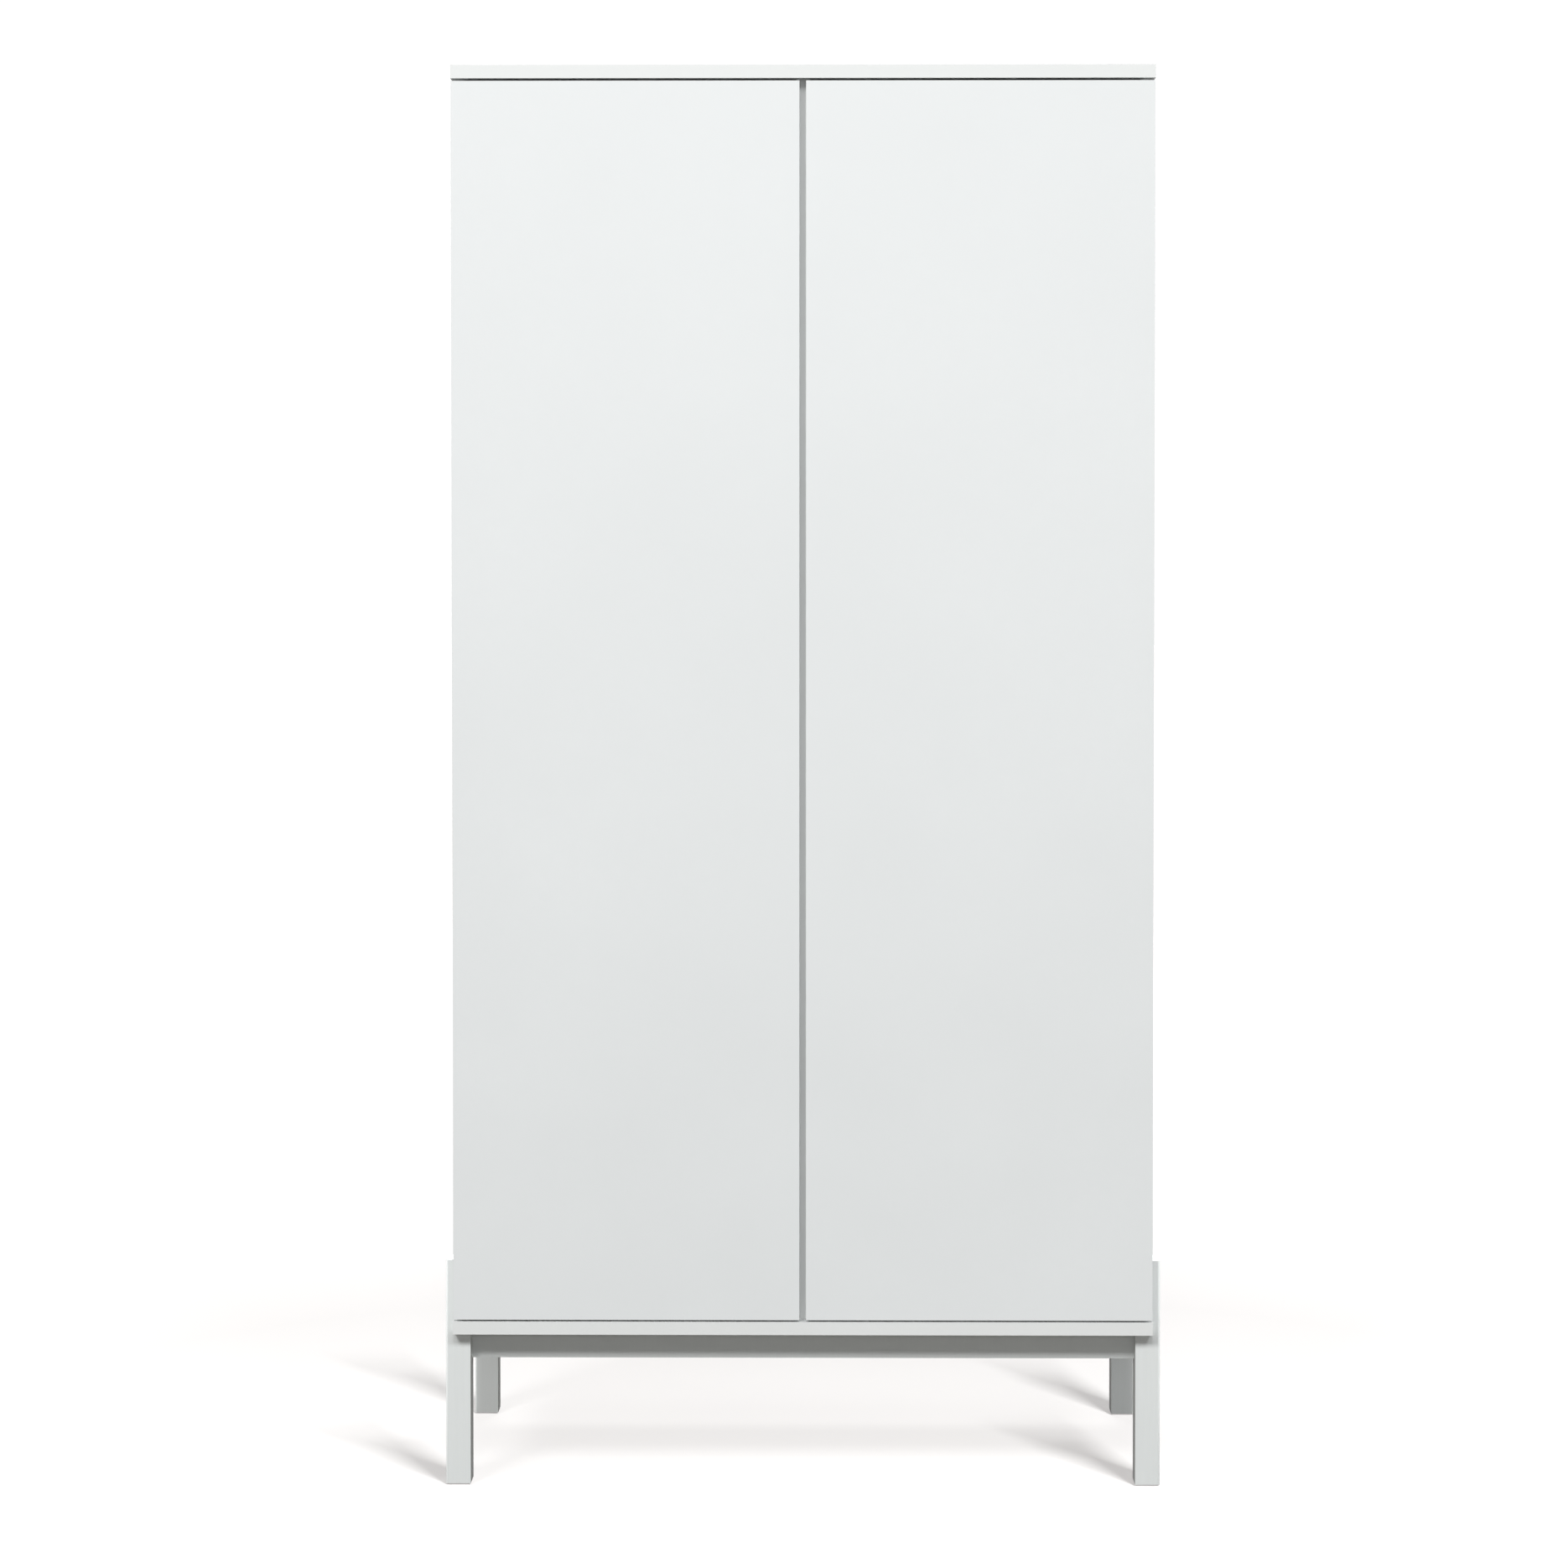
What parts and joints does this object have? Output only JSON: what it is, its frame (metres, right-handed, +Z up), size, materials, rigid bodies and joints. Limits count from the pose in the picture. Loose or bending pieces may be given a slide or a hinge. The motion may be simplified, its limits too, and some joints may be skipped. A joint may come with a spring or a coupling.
{
  "type": "two-door wardrobe",
  "caption": "White two-door wardrobe on a low leg frame, with push-to-open handleless doors, shelves on one side and a clothes rail under a hat shelf on the other.",
  "frame": {"origin": "on the floor under the middle of the wardrobe's box", "axes": "+Z up, the doors face -Y, +X to the right when facing the doors"},
  "size_m": [0.984, 0.55, 1.95],
  "materials": {
    "white_door": "white foil over fibreboard, satin",
    "white_board": "white melamine over particle board, satin",
    "white_frame": "white satin lacquer on solid wood",
    "back_hardboard": "white painted hardboard, matte",
    "nickel_fittings": "nickel plated, satin",
    "zinc_steel": "zinc plated",
    "rail_chrome": "polished",
    "grey_plastic": "fine texture",
    "plunger_plastic": "smooth",
    "beech": "raw"
  },
  "bodies": {
    "cabinet": {"top_board": "white_board", "bottom_board": "white_board", "left_side_panel": "white_board", "right_side_panel": "white_board", "center_partition": "white_board", "left_back_panel": "back_hardboard", "right_back_panel": "back_hardboard", "front_left_leg": "white_frame", "front_right_leg": "white_frame", "rear_left_leg": "white_frame", "rear_right_leg": "white_frame", "front_apron": "white_frame", "rear_apron": "white_frame", "left_base_rail": "white_frame", "right_base_rail": "white_frame", "center_base_rail": "white_frame", "leg_glides": "grey_plastic", "corner_brackets": "zinc_steel", "corner_bracket_screws": "zinc_steel", "leg_screws": "zinc_steel", "left_shelf_1": "white_board", "left_shelf_2": "white_board", "left_shelf_3": "white_board", "left_shelf_4": "white_board", "hat_shelf": "white_board", "shelf_pins": "nickel_fittings", "clothes_rail": "rail_chrome", "rail_sockets": "nickel_fittings", "rail_socket_screws": "zinc_steel", "cam_discs": "nickel_fittings", "cam_bolts": "zinc_steel", "wood_dowels": "beech", "wall_brackets": "zinc_steel", "wall_bracket_screws": "zinc_steel", "left_hinge_plates": "nickel_fittings", "right_hinge_plates": "nickel_fittings", "hinge_plate_screws": "zinc_steel", "left_hinge_arms": "nickel_fittings", "right_hinge_arms": "nickel_fittings", "hinge_arm_screws": "zinc_steel", "left_link_pins": "zinc_steel", "right_link_pins": "zinc_steel", "left_latch_housing": "grey_plastic", "right_latch_housing": "grey_plastic", "latch_screws": "zinc_steel"},
    "left_door": {"left_door": "white_door", "left_hinge_cups": "nickel_fittings", "left_cup_screws": "zinc_steel", "left_strike_plate": "zinc_steel"},
    "right_door": {"right_door": "white_door", "right_hinge_cups": "nickel_fittings", "right_cup_screws": "zinc_steel", "right_strike_plate": "zinc_steel"},
    "left_hinge_links": {"left_hinge_links": "nickel_fittings"},
    "right_hinge_links": {"right_hinge_links": "nickel_fittings"},
    "left_latch_plunger": {"left_latch_plunger": "plunger_plastic"},
    "right_latch_plunger": {"right_latch_plunger": "plunger_plastic"}
  },
  "joints": [
    {"name": "left_door_swing", "type": "hinge", "parent": "cabinet", "child": "left_door", "pos_m": [-0.474, -0.2676, 0.33], "axis": [0, 0, -1], "range_deg": [0, 105]},
    {"name": "right_door_swing", "type": "hinge", "parent": "cabinet", "child": "right_door", "pos_m": [0.474, -0.2676, 0.33], "axis": [0, 0, 1], "range_deg": [0, 105]},
    {"name": "left_link_turn", "type": "hinge", "parent": "cabinet", "child": "left_hinge_links", "pos_m": [-0.4476, -0.2518, 0.33], "axis": [0, 0, -1], "range_deg": [-23.5, 0]},
    {"name": "right_link_turn", "type": "hinge", "parent": "cabinet", "child": "right_hinge_links", "pos_m": [0.4476, -0.2518, 0.33], "axis": [0, 0, 1], "range_deg": [-23.5, 0]},
    {"name": "left_plunger_slide", "type": "slide", "parent": "cabinet", "child": "left_latch_plunger", "axis": [0, -1, 0], "range_m": [0, 0.0185]},
    {"name": "right_plunger_slide", "type": "slide", "parent": "cabinet", "child": "right_latch_plunger", "axis": [0, -1, 0], "range_m": [0, 0.0185]}
  ],
  "couplings": [
    {"joint": "left_link_turn", "follows": "left_door_swing", "ratio": -0.22},
    {"joint": "right_link_turn", "follows": "right_door_swing", "ratio": -0.22},
    {"joint": "left_plunger_slide", "follows": "left_door_swing", "m_per_rad": 0.01},
    {"joint": "right_plunger_slide", "follows": "right_door_swing", "m_per_rad": 0.01}
  ]
}
